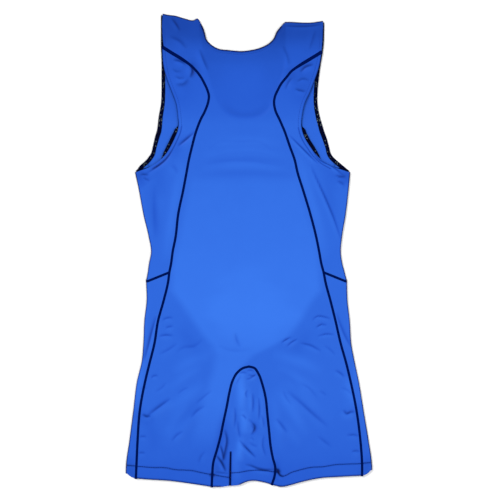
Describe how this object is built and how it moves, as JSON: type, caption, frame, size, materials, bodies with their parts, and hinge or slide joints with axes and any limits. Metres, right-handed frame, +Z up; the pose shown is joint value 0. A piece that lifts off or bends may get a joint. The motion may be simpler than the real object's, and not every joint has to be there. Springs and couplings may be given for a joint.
{
  "type": "weightlifting singlet",
  "caption": "Sleeveless stretch singlet with wide straps, a scooped back neck, curved contrast seams and short legs, laid flat with its back upwards.",
  "frame": {"origin": "on the surface under the middle of the garment's outline", "axes": "+Z up from the surface, +Y towards the shoulders, +X to the right as seen from above with the shoulders at the top"},
  "size_m": [0.443, 0.8501, 0.0066],
  "materials": {
    "blue_jersey": "smooth knitted nylon and elastane with a soft satin sheen",
    "black_elastic": "matt woven elastic"
  },
  "bodies": {
    "root": {"back_panel": "blue_jersey", "front_panel": "blue_jersey", "side_upper_left": "blue_jersey", "side_upper_right": "blue_jersey", "side_lower_left": "blue_jersey", "side_lower_right": "blue_jersey", "gusset": "blue_jersey", "armhole_tape_left": "black_elastic", "armhole_tape_right": "black_elastic", "neck_tape": "black_elastic"}
  },
  "joints": []
}
